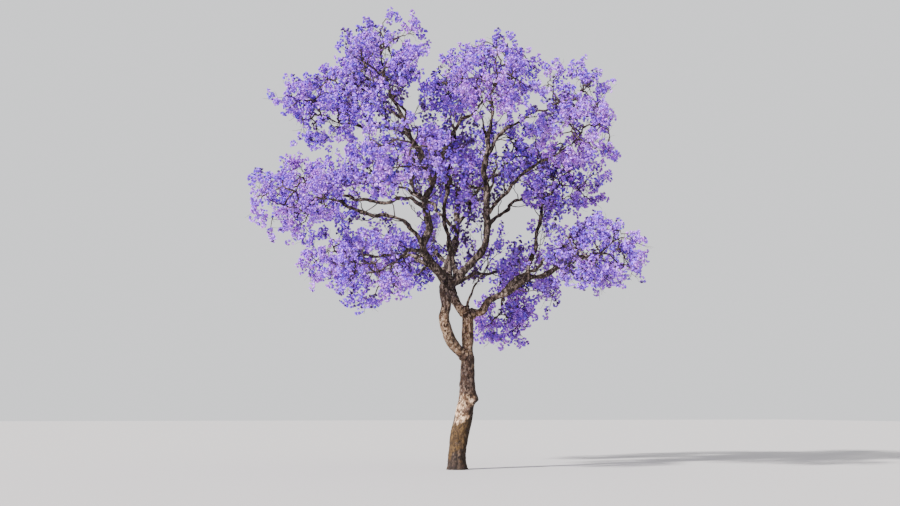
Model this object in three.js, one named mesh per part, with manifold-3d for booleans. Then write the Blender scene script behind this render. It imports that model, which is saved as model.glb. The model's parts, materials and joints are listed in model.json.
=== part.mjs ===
// A jacaranda in full blossom: one leaning trunk that forks low down, long sinuous limbs, and a wide, open
// crown of blossom in separate masses, each on the tip of its own limb.
// Millimetres, +Z up, +X to the right and +Y to the back of the tree. The origin is the middle of the flat cut
// under the trunk, at ground level. A heading is an angle in plan, in degrees, from +X towards +Y.
import * as THREE from "three";
import { mergeVertices } from "three/addons/utils/BufferGeometryUtils.js";
import Module from "manifold-3d";

const wasm = await Module();
wasm.setup();

// The trunk: its height to the upper fork, its girth at the foot, the lower fork and the top, its lean in an S,
// its root flare, and the knot of an old cut.
const TRUNK = {
  height: 4400,
  fork: 3100,
  footRadius: 245,
  forkRadius: 190,
  topRadius: 155,
  lean: { x: 300, y: 60, from: 400, to: 2400 },
  flare: { depth: 60, height: 150, lobes: 5, lobeShare: 0.4 },
  knot: { height: 1950, heading: 0, depth: 70, tall: 110, wide: 0.5 },
};

// The limbs. Each leaves the limb named in from, at that share of its length, and gains reach in plan and rise
// in height. Bow is a single bend and wave an S bend, as moves out along the heading, to its left and up.
// Radius is at the root and at the tip. Mass is the space of the blossom on its tip: how far its middle lies
// out and up from the tip, and its half length, half breadth and half height.
const LIMBS = [
  { name: "left_stem", from: "trunk", at: 0.7, heading: 209, reach: 720, rise: 2140,
    bow: { out: 560 }, wave: { out: 110 }, radius: [145, 128] },
  { name: "left_arm", from: "left_stem", at: 1, heading: 200, reach: 700, rise: 2960,
    bow: { out: 480 }, wave: { out: 160 }, radius: [126, 78] },
  { name: "right_arm", from: "left_stem", at: 0.93, heading: 354, reach: 1140, rise: 3050,
    bow: { out: 520 }, wave: { out: 150 }, radius: [122, 86] },
  { name: "rear_limb", from: "trunk", at: 0.97, heading: 84, reach: 1960, rise: 3330,
    bow: { side: 400 }, wave: { side: 150, up: -150 }, radius: [130, 84],
    mass: { out: 700, up: 900, half: [1690, 1690, 1300] } },
  { name: "right_bough", from: "trunk", at: 0.96, heading: 347, reach: 2550, rise: 1480,
    bow: { up: 60 }, wave: { side: 90 }, radius: [112, 72],
    mass: { out: 1350, up: 250, half: [1900, 1800, 1250] } },
  { name: "left_leader", from: "left_arm", at: 1, heading: 193, reach: 1080, rise: 2100,
    bow: { out: 60 }, wave: { out: 60, side: 50 }, radius: [76, 52],
    mass: { out: 450, up: 1100, half: [1860, 1810, 1410] } },
  { name: "right_leader", from: "right_arm", at: 1, heading: 0, reach: 90, rise: 2250,
    bow: { out: -100 }, wave: { out: -110 }, radius: [84, 54],
    mass: { out: 250, up: 1150, half: [1750, 1860, 1470] } },
  { name: "middle_limb", from: "right_arm", at: 0.12, heading: 120, reach: 420, rise: 2640,
    bow: { out: 200, side: 170 }, wave: { side: -90 }, radius: [84, 56],
    mass: { out: 500, up: 950, half: [1410, 1410, 1070] } },
  { name: "left_lower_bough", from: "left_arm", at: 0.4, heading: 197, reach: 2560, rise: 900,
    bow: { up: 170 }, wave: { up: 110, side: 120 }, radius: [62, 40],
    mass: { out: 1150, up: -100, half: [1860, 1810, 1130] } },
  { name: "left_upper_bough", from: "left_arm", at: 0.7, heading: 148, reach: 2450, rise: 500,
    bow: { up: 60, side: -200 }, wave: { up: 100, side: 130 }, radius: [60, 40],
    mass: { out: 1150, up: 250, half: [1860, 1690, 1190] } },
  { name: "left_low_bough", from: "left_arm", at: 0.25, heading: 222, reach: 1500, rise: -150,
    bow: { up: 180 }, wave: { side: 70 }, radius: [54, 38],
    mass: { out: 1000, up: -450, half: [1700, 1600, 1200] } },
  { name: "left_high_bough", from: "left_leader", at: 0.5, heading: 198, reach: 1650, rise: 50,
    bow: { up: 160 }, wave: { up: 60, side: 80 }, radius: [52, 36],
    mass: { out: 1100, up: 250, half: [1690, 1640, 1190] } },
  { name: "left_rear_bough", from: "left_leader", at: 0.75, heading: 128, reach: 1500, rise: 550,
    bow: { up: 120 }, wave: { side: 80 }, radius: [50, 36],
    mass: { out: 850, up: 600, half: [1640, 1530, 1190] } },
  { name: "front_high_bough", from: "left_arm", at: 0.95, heading: 300, reach: 1500, rise: 1500,
    bow: { up: 160 }, wave: { side: 90 }, radius: [58, 38],
    mass: { out: 1050, up: 700, half: [1700, 1650, 1200] } },
  { name: "front_left_bough", from: "left_leader", at: 0.3, heading: 238, reach: 1700, rise: 1150,
    bow: { up: 150 }, wave: { side: -90 }, radius: [54, 36],
    mass: { out: 1150, up: 350, half: [1700, 1650, 1200] } },
  { name: "right_high_bough", from: "right_bough", at: 0.55, heading: 20, reach: 950, rise: 2250,
    bow: { out: 220 }, wave: { out: 90 }, radius: [70, 44],
    mass: { out: 700, up: 850, half: [1690, 1640, 1190] } },
  { name: "right_low_bough", from: "right_bough", at: 0.35, heading: 62, reach: 750, rise: 60,
    bow: { up: 90 }, wave: { side: 40 }, radius: [48, 36],
    mass: { out: 650, up: -550, half: [1350, 1250, 1000] } },
  { name: "right_front_bough", from: "right_bough", at: 0.4, heading: 297, reach: 2050, rise: 1050,
    bow: { up: 150, side: 150 }, wave: { up: 90 }, radius: [64, 40],
    mass: { out: 1250, up: -250, half: [1800, 1750, 1250] } },
  { name: "left_front_bough", from: "left_arm", at: 0.52, heading: 250, reach: 1850, rise: 1150,
    bow: { up: 160 }, wave: { side: 100 }, radius: [58, 38],
    mass: { out: 1100, up: 250, half: [1700, 1650, 1250] } },
  { name: "upper_right_bough", from: "right_leader", at: 0.35, heading: 336, reach: 1550, rise: 1150,
    bow: { up: 130 }, wave: { side: 90 }, radius: [54, 36],
    mass: { out: 1050, up: 350, half: [1700, 1650, 1250] } },
  { name: "upper_front_bough", from: "right_arm", at: 0.75, heading: 312, reach: 1900, rise: 1250,
    bow: { up: 150 }, wave: { side: 100 }, radius: [60, 38],
    mass: { out: 1100, up: 500, half: [1700, 1650, 1200] } },
  { name: "right_rear_bough", from: "right_arm", at: 0.6, heading: 33, reach: 2250, rise: 1350,
    bow: { up: 160 }, wave: { side: 110 }, radius: [62, 40],
    mass: { out: 1200, up: 400, half: [1750, 1700, 1200] } },
  { name: "rear_left_low_bough", from: "rear_limb", at: 0.42, heading: 155, reach: 2100, rise: 550,
    bow: { up: 170 }, wave: { side: 110 }, radius: [68, 42],
    mass: { out: 1050, up: -100, half: [1800, 1700, 1250] } },
  { name: "rear_low_bough", from: "rear_limb", at: 0.5, heading: 98, reach: 2150, rise: 500,
    bow: { up: 170 }, wave: { side: 110 }, radius: [64, 40],
    mass: { out: 1050, up: 50, half: [1750, 1750, 1250] } },
  { name: "rear_right_low_bough", from: "rear_limb", at: 0.3, heading: 33, reach: 2350, rise: 650,
    bow: { up: 150 }, wave: { side: -110 }, radius: [66, 42],
    mass: { out: 1050, up: -250, half: [1800, 1750, 1250] } },
  { name: "rear_left_high_bough", from: "rear_limb", at: 0.8, heading: 146, reach: 2000, rise: 1550,
    bow: { up: 160 }, wave: { side: 100 }, radius: [62, 40],
    mass: { out: 850, up: 500, half: [1690, 1640, 1190] } },
  { name: "rear_right_high_bough", from: "rear_limb", at: 0.86, heading: 28, reach: 1750, rise: 1800,
    bow: { up: 150 }, wave: { side: -100 }, radius: [60, 40],
    mass: { out: 800, up: 800, half: [1640, 1640, 1190] } },
  { name: "top_bough", from: "middle_limb", at: 0.9, heading: 60, reach: 650, rise: 2150,
    bow: { out: 140 }, wave: { side: 80 }, radius: [52, 38],
    mass: { out: 300, up: 1150, half: [1640, 1640, 1300] } },
];

// Pieces that touch keep GAP, and the spaces of the blossom masses lie SPACE_GAP apart.
const GAP = 0.3;
const SPACE_GAP = 20;

// Sides and rings of the skins. A limb from THICK_LIMB up in radius has the finer skin.
const TRUNK_SKIN = { sides: 15, rings: 12, crowding: 1.5 };
const LIMB_SKIN = { sides: 8, rings: 9 };
const BOUGH_SKIN = { sides: 6, rings: 5 };
const STEM_SKIN = { sides: 4, rings: 3 };
const TWIG_SKIN = { sides: 3, rings: 1 };
const THICK_LIMB = 84;

// The stem of a mass, and where along it twigs may start.
const STEM = { radius: [46, 46], bend: 0.35, forks: [1, 0.85, 0.7, 0.55, 0.4] };

// The twigs of a mass: one for each spacing in the size of its space, the first near its top and the last this
// low, and each reaching this share of the way to its skin. Later twigs may fork from one at this share.
const TWIG = { spacing: 275, highest: 0.97, lowest: -0.7, reach: 0.5, radius: [26, 18], fork: 0.6 };

// The sprays of blossom on a twig: their angles from the way out, the share of the twig that the first leaves
// at and the step back to the next, how far each is sunk in, and its size, widest at the belly, with half
// widths. One that doesn't fit is tried again at the smaller fits.
const SPRAY = {
  fan: [0, 1.1, -1.1],
  first: 0.97,
  step: 0.22,
  sunk: 8,
  length: 1150,
  width: 430,
  depth: 150,
  belly: 0.6,
  fits: [1, 0.82, 0.66],
};

// Twigs and sprays keep this far from limbs and from the stems of other masses, measured at points along them.
const CLEARANCE = 45;
const MIDDLE_POINTS = 40;
const SEED = 7001;
const GOLDEN_ANGLE = Math.PI * (3 - Math.sqrt(5));

const BARK = new THREE.MeshStandardMaterial({ color: 0x6a5847, roughness: 0.95, metalness: 0 });
const BLOSSOM = new THREE.MeshStandardMaterial({ color: 0x8c7dcb, roughness: 0.8, metalness: 0 });

const RIGHT = new THREE.Vector3(1, 0, 0);
const BACK = new THREE.Vector3(0, 1, 0);
const UP = new THREE.Vector3(0, 0, 1);
const { degToRad: radians, lerp, smoothstep } = THREE.MathUtils;

// A repeatable stream of numbers from 0 to 1.
function stream(seed) {
  let state = seed >>> 0;
  return () => {
    state = (state + 0x6d2b79f5) >>> 0;
    let mixed = Math.imul(state ^ (state >>> 15), 1 | state);
    mixed = (mixed + Math.imul(mixed ^ (mixed >>> 7), 61 | mixed)) ^ mixed;
    return ((mixed ^ (mixed >>> 14)) >>> 0) / 4294967296;
  };
}

// The line of the trunk: upright at both ends, with the lean taken in a smooth S between two heights.
class TrunkPath extends THREE.Curve {
  getPoint(t, target = new THREE.Vector3()) {
    const z = t * TRUNK.height;
    const share = smoothstep(z, TRUNK.lean.from, TRUNK.lean.to);
    return target.set(TRUNK.lean.x * share, TRUNK.lean.y * share, z);
  }
}

// The line of a limb: straight from root to tip, plus a half sine for the bow and a whole sine for the wave.
class LimbPath extends THREE.Curve {
  constructor(start, limb) {
    super();
    const turn = radians(limb.heading);
    this.start = start;
    this.out = new THREE.Vector3(Math.cos(turn), Math.sin(turn), 0);
    this.side = new THREE.Vector3(-this.out.y, this.out.x, 0);
    this.reach = limb.reach;
    this.rise = limb.rise;
    this.bow = this.spread(limb.bow);
    this.wave = this.spread(limb.wave);
  }
  spread({ out = 0, side = 0, up = 0 }) {
    return new THREE.Vector3(0, 0, up).addScaledVector(this.out, out).addScaledVector(this.side, side);
  }
  getPoint(t, target = new THREE.Vector3()) {
    target.copy(this.start).addScaledVector(this.out, this.reach * t);
    target.z += this.rise * t;
    target.addScaledVector(this.bow, Math.sin(Math.PI * t));
    return target.addScaledVector(this.wave, Math.sin(2 * Math.PI * t));
  }
}

// A geometry from corner points and the corner numbers of its triangles.
function facesOver(corners, faces) {
  const numbers = corners.flatMap((corner) => corner.toArray());
  return new THREE.BufferGeometry()
    .setAttribute("position", new THREE.Float32BufferAttribute(numbers, 3))
    .setIndex(faces);
}

// A closed skin over rings of points, each ring running the same way round, with a flat cap on both ends.
function skin(rings) {
  const sides = rings[0].length;
  const corner = (ring, side) => ring * sides + (side % sides);
  const faces = [];
  for (let ring = 0; ring < rings.length - 1; ring++)
    for (let side = 0; side < sides; side++) {
      faces.push(corner(ring, side), corner(ring, side + 1), corner(ring + 1, side + 1));
      faces.push(corner(ring, side), corner(ring + 1, side + 1), corner(ring + 1, side));
    }
  const last = rings.length - 1;
  for (let side = 1; side < sides - 1; side++) {
    faces.push(corner(0, 0), corner(0, side + 1), corner(0, side));
    faces.push(corner(last, 0), corner(last, side), corner(last, side + 1));
  }
  return facesOver(rings.flat(), faces);
}

// A ring of points around a centre, first towards one axis and then towards the other.
function ringAround(centre, first, second, sides, radiusAt) {
  return Array.from({ length: sides }, (_, side) => {
    const angle = (2 * Math.PI * side) / sides;
    const radius = radiusAt(angle);
    return centre
      .clone()
      .addScaledVector(first, radius * Math.cos(angle))
      .addScaledVector(second, radius * Math.sin(angle));
  });
}

// How far a grown skin's first and last rings move along its path, so that its ends grow too.
function endShift(ring, last, grow) {
  if (ring === 0) return -grow;
  return ring === last ? grow : 0;
}

// A round, tapering limb along a path. Grow makes it that much larger all over, ends included.
function limbGeometry(path, [root, tip], { sides, rings }, grow = 0) {
  const frames = path.computeFrenetFrames(rings, false);
  const points = [];
  for (let ring = 0; ring <= rings; ring++) {
    const share = ring / rings;
    const centre = path.getPointAt(share).addScaledVector(frames.tangents[ring], endShift(ring, rings, grow));
    const radius = lerp(root, tip, share) + grow;
    points.push(ringAround(centre, frames.normals[ring], frames.binormals[ring], sides, () => radius));
  }
  return skin(points);
}

// The trunk's radius: even tapers below and above the lower fork, with a step in where the fork's limb leaves,
// the lobes of the root flare, and the knot, a rounded bump on one side.
function trunkRadius(z, angle) {
  const { fork, flare, knot } = TRUNK;
  const below = lerp(TRUNK.footRadius, TRUNK.forkRadius, z / fork);
  const taper = lerp(below, TRUNK.topRadius, smoothstep(z, fork - 100, fork + 300));
  const lobe = 1 + flare.lobeShare * Math.cos(flare.lobes * angle);
  const turn = angle - radians(knot.heading);
  const away = Math.atan2(Math.sin(turn), Math.cos(turn));
  const bump = Math.exp(-(((z - knot.height) / knot.tall) ** 2) - (away / knot.wide) ** 2);
  return taper + flare.depth * Math.exp(-z / flare.height) * lobe + knot.depth * bump;
}

// The trunk as level rings, so that its foot is flat, crowded towards the flare.
function trunkGeometry(path, grow = 0) {
  const { sides, rings, crowding } = TRUNK_SKIN;
  const points = [];
  for (let ring = 0; ring <= rings; ring++) {
    const centre = path.getPoint(Math.pow(ring / rings, crowding));
    const height = centre.z;
    centre.z += endShift(ring, rings, grow);
    points.push(ringAround(centre, RIGHT, BACK, sides, (angle) => trunkRadius(height, angle) + grow));
  }
  return skin(points);
}

// A spray of blossom: a plump blade of eight faces from its root to its tip, widest at its belly.
function sprayGeometry(root, direction, across, size) {
  const over = new THREE.Vector3().crossVectors(direction, across).normalize();
  const belly = root.clone().addScaledVector(direction, SPRAY.length * SPRAY.belly * size);
  const tip = root.clone().addScaledVector(direction, SPRAY.length * size);
  const rim = [
    belly.clone().addScaledVector(across, SPRAY.width * size),
    belly.clone().addScaledVector(over, SPRAY.depth * size),
    belly.clone().addScaledVector(across, -SPRAY.width * size),
    belly.clone().addScaledVector(over, -SPRAY.depth * size),
  ];
  const faces = [];
  for (let side = 0; side < 4; side++) {
    const here = 1 + side;
    const next = 1 + ((side + 1) % 4);
    faces.push(0, next, here, 5, here, next);
  }
  return facesOver([root, ...rim, tip], faces);
}

// A geometry as a manifold-3d solid, and a solid as a geometry.
function solidOf(geometry) {
  const merged = mergeVertices(geometry, 1e-4);
  return new wasm.Manifold(
    new wasm.Mesh({
      numProp: 3,
      vertProperties: merged.attributes.position.array,
      triVerts: new Uint32Array(merged.index.array),
    }),
  );
}

function geometryOf(solid) {
  const { vertProperties, triVerts } = solid.getMesh();
  const geometry = new THREE.BufferGeometry()
    .setAttribute("position", new THREE.BufferAttribute(new Float32Array(vertProperties), 3))
    .setIndex(new THREE.BufferAttribute(new Uint32Array(triVerts), 1));
  geometry.computeVertexNormals();
  return geometry;
}

// The largest of a solid's loose bodies, which leaves out scraps and the skins of sealed hollows.
function largestBody(solid) {
  return solid.decompose().reduce((best, body) => (body.volume() > best.volume() ? body : best));
}

// Whether two boxes come within a millimetre of each other.
function near(a, b) {
  return a.clone().expandByScalar(1).intersectsBox(b);
}

function boxOf(geometry) {
  geometry.computeBoundingBox();
  return geometry.boundingBox;
}

function cornersOf(geometry) {
  const corners = geometry.attributes.position;
  return Array.from({ length: corners.count }, (_, i) => new THREE.Vector3().fromBufferAttribute(corners, i));
}

// Points along the middle of a limb or stem, each with the radius there.
function middleOf(path, [root, tip], count) {
  return Array.from({ length: count + 1 }, (_, step) => ({
    point: path.getPointAt(step / count),
    radius: lerp(root, tip, step / count),
  }));
}

// The trunk and every limb, each with its path, its solid, and the points along its middle. A limb is cut clear
// of those before it that it comes near.
function buildLimbs() {
  const built = new Map();
  const add = (name, path, radii, make, more) => {
    const plain = make(0);
    const box = boxOf(plain);
    const nearby = [...built.values()].filter((other) => near(box, other.box));
    const cut = nearby.reduce((solid, other) => solid.subtract(other.grown), solidOf(plain));
    const middle = middleOf(path, radii, MIDDLE_POINTS);
    built.set(name, { name, path, middle, box, solid: largestBody(cut), grown: solidOf(make(GAP)), ...more });
  };
  const trunk = new TrunkPath();
  add("trunk", trunk, [TRUNK.footRadius, TRUNK.topRadius], (grow) => trunkGeometry(trunk, grow), {});
  for (const limb of LIMBS) {
    const path = new LimbPath(built.get(limb.from).path.getPointAt(limb.at), limb);
    const fineness = limb.radius[0] >= THICK_LIMB ? LIMB_SKIN : BOUGH_SKIN;
    add(limb.name, path, limb.radius, (grow) => limbGeometry(path, limb.radius, fineness, grow), limb);
  }
  return built;
}

// The space of the mass on a limb's tip: a rounded body, longest along the limb's heading.
function spaceOf({ path, mass: { out, up, half } }) {
  const centre = path.getPoint(1).addScaledVector(path.out, out).addScaledVector(UP, up);
  return { centre, half, out: path.out, side: path.side, size: (half[0] + half[1] + half[2]) / 3 };
}

// A point at a share of the way from a space's middle to its skin.
function pointIn(space, direction, share) {
  return space.centre
    .clone()
    .addScaledVector(space.out, direction.x * space.half[0] * share)
    .addScaledVector(space.side, direction.y * space.half[1] * share)
    .addScaledVector(UP, direction.z * space.half[2] * share);
}

// Whether a point is inside a space, and on this space's side of the wall between it and each other space, with
// room for a radius around it.
function holds(space, others, point, radius) {
  const away = point.clone().sub(space.centre);
  const [length, breadth, height] = space.half;
  const share = Math.hypot(away.dot(space.out) / length, away.dot(space.side) / breadth, away.z / height);
  if (share > 1) return false;
  return others.every((other) => {
    const between = other.centre.clone().sub(space.centre);
    const wall = (between.length() * space.size) / (space.size + other.size);
    return away.dot(between.normalize()) < wall - SPACE_GAP / 2 - radius;
  });
}

// Whether a twig or spray from one point to another, this thick, would come too near any of the middle points.
function touches(middles, from, to, thickness) {
  const line = new THREE.Line3(from, to);
  const nearest = new THREE.Vector3();
  return middles.some(({ point, radius }) => {
    line.closestPointToPoint(point, true, nearest);
    return nearest.distanceTo(point) < radius + thickness + CLEARANCE;
  });
}

// The stem of a mass: it runs on from the limb's tip and bends into the middle of the space.
function stemOf({ path }, space) {
  const along = path.getTangentAt(1);
  const foot = path.getPointAt(1).addScaledVector(along, GAP);
  const bend = foot.clone().addScaledVector(along, space.size * STEM.bend);
  return new THREE.CubicBezierCurve3(foot, bend, bend.clone().lerp(space.centre, 0.5), space.centre);
}

// The end of each twig of a mass, in a spiral down the space, and the way out through the skin from there.
function twigEnds(space, random) {
  const count = Math.round(space.size / TWIG.spacing);
  const phase = random() * 2 * Math.PI;
  return Array.from({ length: count }, (_, twig) => {
    const height = lerp(TWIG.highest, TWIG.lowest, (twig + 0.5) / count);
    const turn = phase + twig * GOLDEN_ANGLE;
    const flat = Math.sqrt(1 - height * height);
    const direction = new THREE.Vector3(flat * Math.cos(turn), flat * Math.sin(turn), height);
    const end = pointIn(space, direction, TWIG.reach * (0.9 + 0.2 * random()));
    const outward = end.clone().sub(space.centre).divide(new THREE.Vector3(...space.half)).normalize();
    return { end, outward: outward.addScaledVector(UP, 0.15).normalize() };
  });
}

// A spray from a point on a twig, turned about its own length by chance, and the largest that fits, if any does.
function sprayFrom(from, direction, random, fits) {
  const tilt = new THREE.Vector3(random() - 0.5, random() - 0.5, 0.4 * (random() - 0.5));
  const across = tilt.cross(direction).normalize();
  const root = from.clone().addScaledVector(direction, -SPRAY.sunk);
  const scale = 0.85 + 0.3 * random();
  for (const fit of SPRAY.fits) {
    const blade = sprayGeometry(root, direction, across, scale * fit);
    const to = from.clone().addScaledVector(direction, SPRAY.length * scale * fit);
    if (fits(blade, from, to, SPRAY.width * scale * fit)) return [blade];
  }
  return [];
}

// One mass of blossom. Each twig leaves the nearest wood so far, on the stem or on an earlier twig, and carries
// a spray at its end and others splayed on either side.
function growMass(stem, space, others, middles, random) {
  const pieces = [limbGeometry(stem, STEM.radius, STEM_SKIN)];
  const wood = STEM.forks.map((share) => stem.getPoint(share));
  const clear = (from, to, thickness) => !touches(middles, from, to, thickness);
  const sprayFits = (blade, from, to, width) =>
    cornersOf(blade).every((corner) => holds(space, others, corner, 0)) && clear(from, to, width);
  for (const { end, outward } of twigEnds(space, random)) {
    const root = wood.reduce((best, point) => (point.distanceTo(end) < best.distanceTo(end) ? point : best));
    const [thick] = TWIG.radius;
    const inside = [root, end].every((point) => holds(space, others, point, thick));
    if (!inside || !clear(root, end, thick)) continue;
    const path = new THREE.LineCurve3(root, end);
    pieces.push(limbGeometry(path, TWIG.radius, TWIG_SKIN));
    wood.push(path.getPoint(TWIG.fork));
    const sideways = new THREE.Vector3(outward.y, -outward.x, 0.3).normalize();
    SPRAY.fan.forEach((angle, spray) => {
      const fan = angle + 0.3 * (random() - 0.5);
      const heading = outward.clone().multiplyScalar(Math.cos(fan)).addScaledVector(sideways, Math.sin(fan));
      heading.addScaledVector(UP, 0.35 * (random() - 0.5)).normalize();
      pieces.push(...sprayFrom(path.getPoint(SPRAY.first - SPRAY.step * spray), heading, random, sprayFits));
    });
  }
  return largestBody(wasm.Manifold.union(pieces.map(solidOf)));
}

function meshOf(name, solid, material) {
  const mesh = new THREE.Mesh(geometryOf(solid), material);
  mesh.name = name;
  return mesh;
}

const tree = new THREE.Group();
const limbs = [...buildLimbs().values()];
for (const { name, solid } of limbs) tree.add(meshOf(name, solid, BARK));

const bearers = limbs.filter(({ mass }) => mass);
const spaces = bearers.map(spaceOf);
const stems = bearers.map((bearer, index) => stemOf(bearer, spaces[index]));
const stemMiddles = stems.map((stem) => middleOf(stem, STEM.radius, MIDDLE_POINTS / 2));
bearers.forEach(({ name }, index) => {
  const apart = (_, other) => other !== index;
  const middles = [...limbs.map(({ middle }) => middle), ...stemMiddles.filter(apart)].flat();
  const random = stream(SEED + index);
  const solid = growMass(stems[index], spaces[index], spaces.filter(apart), middles, random);
  tree.add(meshOf(name + "_blossom", solid, BLOSSOM));
});

export default tree;
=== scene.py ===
import json
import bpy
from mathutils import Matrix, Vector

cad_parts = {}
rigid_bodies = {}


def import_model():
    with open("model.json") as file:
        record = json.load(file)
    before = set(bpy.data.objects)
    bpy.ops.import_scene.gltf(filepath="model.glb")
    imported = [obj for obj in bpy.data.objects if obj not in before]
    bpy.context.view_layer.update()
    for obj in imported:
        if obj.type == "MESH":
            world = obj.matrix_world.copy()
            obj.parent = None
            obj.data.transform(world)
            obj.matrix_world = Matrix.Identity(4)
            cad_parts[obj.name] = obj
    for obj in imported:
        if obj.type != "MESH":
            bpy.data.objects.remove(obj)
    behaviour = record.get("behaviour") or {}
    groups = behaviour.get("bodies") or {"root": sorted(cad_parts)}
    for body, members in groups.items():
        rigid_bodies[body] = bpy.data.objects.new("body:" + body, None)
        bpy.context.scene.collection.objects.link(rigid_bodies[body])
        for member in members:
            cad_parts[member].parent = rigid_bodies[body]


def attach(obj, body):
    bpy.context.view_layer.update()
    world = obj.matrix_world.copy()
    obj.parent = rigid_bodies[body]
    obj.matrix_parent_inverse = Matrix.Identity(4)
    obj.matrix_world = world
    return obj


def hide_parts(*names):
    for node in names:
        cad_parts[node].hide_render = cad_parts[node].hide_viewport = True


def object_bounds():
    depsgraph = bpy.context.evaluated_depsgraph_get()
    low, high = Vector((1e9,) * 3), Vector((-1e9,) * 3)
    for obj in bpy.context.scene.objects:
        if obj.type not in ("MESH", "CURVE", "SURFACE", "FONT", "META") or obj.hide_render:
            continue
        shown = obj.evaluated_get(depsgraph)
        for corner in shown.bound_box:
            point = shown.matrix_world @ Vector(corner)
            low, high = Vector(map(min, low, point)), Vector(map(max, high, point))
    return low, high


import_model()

from types import SimpleNamespace as Sizes

import bpy
import numpy as np

cad_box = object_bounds()

# The trunk: living wood under thin, scaly, grey-brown bark. It stands in the ground on a low root
# flare, leans to the right in a slow S and divides twice. Its bark is a skin of level rings round the
# solid's line, with a lean, a belly and a knot that are a few centimetres more than the solid's.
TRUNK = Sizes(height=4.4, fork=3.1, foot=0.245, at_fork=0.19, top=0.155, thins=(0.1, 0.3), dome=0.13,
              closed=0.002, sides=112, rings=260, seed=11)
LEAN = Sizes(x=0.33, y=0.06, start=0.25, end=2.35)
FLARE = Sizes(depth=0.06, height=0.15, lobes=5, lobe_share=0.4)
BELLY = Sizes(height=1.35, tall=0.6, depth=0.04)
KNOT = Sizes(height=1.92, heading=-0.2, depth=0.12, above=0.18, below=0.09, wide=0.6)
# Eyes left by shed and cut shoots: height on the trunk, heading in degrees, and radius.
TRUNK_EYES = [
    (1.84, 318, 0.055), (2.72, 292, 0.045), (3.02, 262, 0.035), (2.35, 150, 0.05),
    (1.42, 318, 0.03), (3.45, 235, 0.04), (0.98, 75, 0.045), (3.8, 310, 0.035),
]
# The bark's swellings and flutes are a depth and a pace in shares of the limb's radius, its lumps a
# depth and a pace in metres, and its cracks a pace, a width and a depth. Flutes and plates are drawn
# out along the limb.
BARK = Sizes(swells=((0.12, 2.4), (0.06, 1)), flute=(0.07, 0.55), lump=(0.006, 0.055),
             long=np.array([1, 1, 0.3]), plate=np.array([1, 1, 0.42]),
             cracks=((0.06, 0.12, 1), (0.034, 0.14, 0.7)), crack_depth=0.007,
             patches=0.11, patchy=(-0.5, 0.3), hollow=0.7)
HEALED_EYE = Sizes(rim=0.4, pit=0.75, depth=0.45)


def ease(value, low, high):
    """0 up to low and 1 from high, with an S curve between them: x squared times (3 - 2x)."""
    share = np.clip((value - low) / (high - low), 0, 1)
    return share * share * (3 - 2 * share)


def chance(points, size, seed):
    """Smooth chance values, -1 to 1: one hashed for each corner of a lattice with cells of this size,
    blended across the cell by the ease curve along each axis."""
    places = np.asarray(points) / size
    cell = np.floor(places).astype(np.int64)
    share = places - cell
    share = share * share * (3 - 2 * share)
    total = np.zeros(places.shape[:-1])
    for corner in np.ndindex(2, 2, 2):
        x, y, z = np.moveaxis(cell + np.array(corner), -1, 0)
        mixed = ((x * 73856093) ^ (y * 19349663) ^ (z * 83492791) ^ (seed * 2654435)) & 0x7FFFFFFF
        mixed = ((mixed ^ (mixed >> 13)) * 1274126177) & 0x7FFFFFFF
        mixed = mixed ^ (mixed >> 16)
        weight = np.prod(np.where(corner, share, 1 - share), axis=-1)
        total += weight * ((mixed & 0xFFFF) / 0x7FFF - 1)
    return total


def unit(vectors):
    """The vectors at length 1."""
    return vectors / np.linalg.norm(vectors, axis=-1, keepdims=True)


def trunk_line(share):
    """The middle of the trunk: straight up, with the lean added as an S curve between two heights."""
    z = np.asarray(share, float) * TRUNK.height
    lean = ease(z, LEAN.start, LEAN.end)
    return np.stack([LEAN.x * lean, LEAN.y * lean, z], axis=-1)


def trunk_radius(z, angle):
    """A straight taper to the lower fork and a thinner top, met in an S curve, plus a slight belly, a
    flare that dies away with height in five lobes, and the knot, a bell-shaped swelling on one side
    that falls off faster below. The top closes in a dome."""
    below = TRUNK.foot + (TRUNK.at_fork - TRUNK.foot) * z / TRUNK.fork
    thinner = ease(z, TRUNK.fork - TRUNK.thins[0], TRUNK.fork + TRUNK.thins[1])
    taper = below + (TRUNK.top - below) * thinner
    belly = BELLY.depth * np.exp(-((z - BELLY.height) / BELLY.tall) ** 2)
    lobe = 1 + FLARE.lobe_share * np.cos(FLARE.lobes * angle)
    away = np.angle(np.exp(1j * (angle - KNOT.heading)))
    tall = np.where(z > KNOT.height, KNOT.above, KNOT.below)
    knot = KNOT.depth * np.exp(-((z - KNOT.height) / tall) ** 2 - (away / KNOT.wide) ** 2)
    in_dome = np.clip(z - TRUNK.height + TRUNK.dome, 0, None) / TRUNK.dome
    dome = np.sqrt(np.clip(1 - in_dome ** 2, TRUNK.closed, 1))
    return dome * (taper + belly + FLARE.depth * np.exp(-z / FLARE.height) * lobe + knot)


def laid_straight(plain, angle, z):
    """Points of a limb's plain skin as if it were laid straight, with its length along z."""
    return np.stack(np.broadcast_arrays(plain * np.cos(angle), plain * np.sin(angle), z), axis=-1)


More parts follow.
